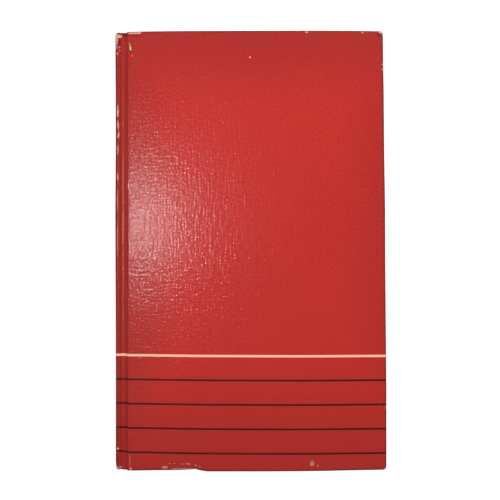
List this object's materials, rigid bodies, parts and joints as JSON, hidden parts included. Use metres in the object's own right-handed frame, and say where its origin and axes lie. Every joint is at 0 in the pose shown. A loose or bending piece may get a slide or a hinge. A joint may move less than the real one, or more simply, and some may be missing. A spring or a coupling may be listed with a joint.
{
  "type": "hardback book",
  "caption": "Closed case-bound book with stiff hinged covers, a grooved joint on each side of a flat spine, and a block of leaves inside.",
  "frame": {"origin": "middle of the footprint, on the surface that the closed book lies on", "axes": "+X from the spine to the fore-edge, +Y from the tail to the head, +Z from the back cover up to the front cover"},
  "size_m": [0.1204, 0.1958, 0.0264],
  "materials": {
    "covering": "satin, linen-grained",
    "cream_stripe": "matt stamped stripe",
    "black_stripe": "matt stamped stripe",
    "board": "matt",
    "endpaper": "matt",
    "leaves": "matt, cut edges",
    "gauze": "open weave",
    "lining": "matt",
    "headband": "woven, two colours"
  },
  "bodies": {
    "pages": {"text_block": "leaves", "front_flyleaf": "endpaper", "back_flyleaf": "endpaper", "gauze": "gauze", "spine_lining": "lining", "head_band": "headband", "tail_band": "headband", "spine_stiffener": "board", "spine_covering": "covering", "spine_cream_stripe": "cream_stripe", "spine_black_stripes": "black_stripe"},
    "front_cover": {"front_board": "board", "front_covering": "covering", "front_cream_stripe": "cream_stripe", "front_black_stripes": "black_stripe", "front_gauze_flap": "gauze", "front_pastedown": "endpaper"},
    "back_cover": {"back_board": "board", "back_covering": "covering", "back_cream_stripe": "cream_stripe", "back_black_stripes": "black_stripe", "back_gauze_flap": "gauze", "back_pastedown": "endpaper"}
  },
  "joints": [
    {"name": "front_hinge", "type": "hinge", "parent": "pages", "child": "front_cover", "pos_m": [-0.05765, 0, 0.025], "axis": [0, -1, 0], "range_deg": [0, 179]},
    {"name": "back_hinge", "type": "hinge", "parent": "pages", "child": "back_cover", "pos_m": [-0.05765, 0, 0.0014], "axis": [0, 1, 0], "range_deg": [0, 179]}
  ]
}
